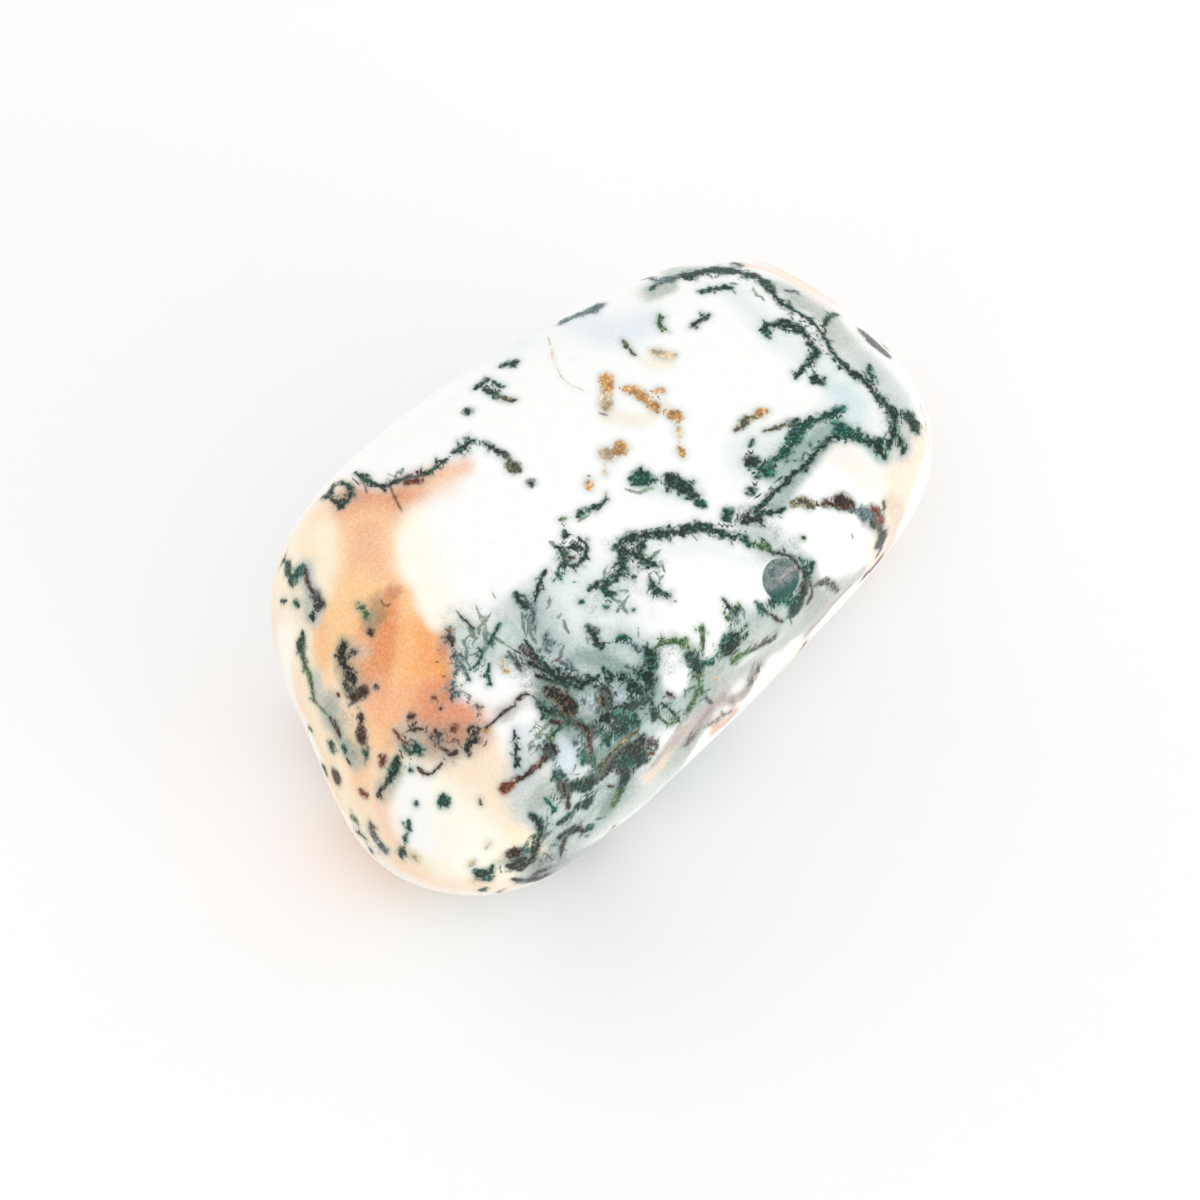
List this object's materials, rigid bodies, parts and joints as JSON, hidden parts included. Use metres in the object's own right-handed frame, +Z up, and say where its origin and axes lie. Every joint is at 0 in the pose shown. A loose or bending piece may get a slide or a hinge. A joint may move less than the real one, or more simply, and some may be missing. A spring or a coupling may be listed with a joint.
{
  "type": "tree agate tumbled stone",
  "caption": "Tumbled tree agate: one long, low, rounded white stone with mossy green veins and an orange stain.",
  "frame": {"origin": "centre of the stone's box in plan, at the height of the flat spot that it rests on", "axes": "+Z up as the stone lies, +X along its length to the far end, -Y to the front face with the crease"},
  "size_m": [0.0292, 0.0178, 0.0121],
  "materials": {
    "agate": "polished"
  },
  "bodies": {
    "root": {"stone": "agate"}
  },
  "joints": []
}
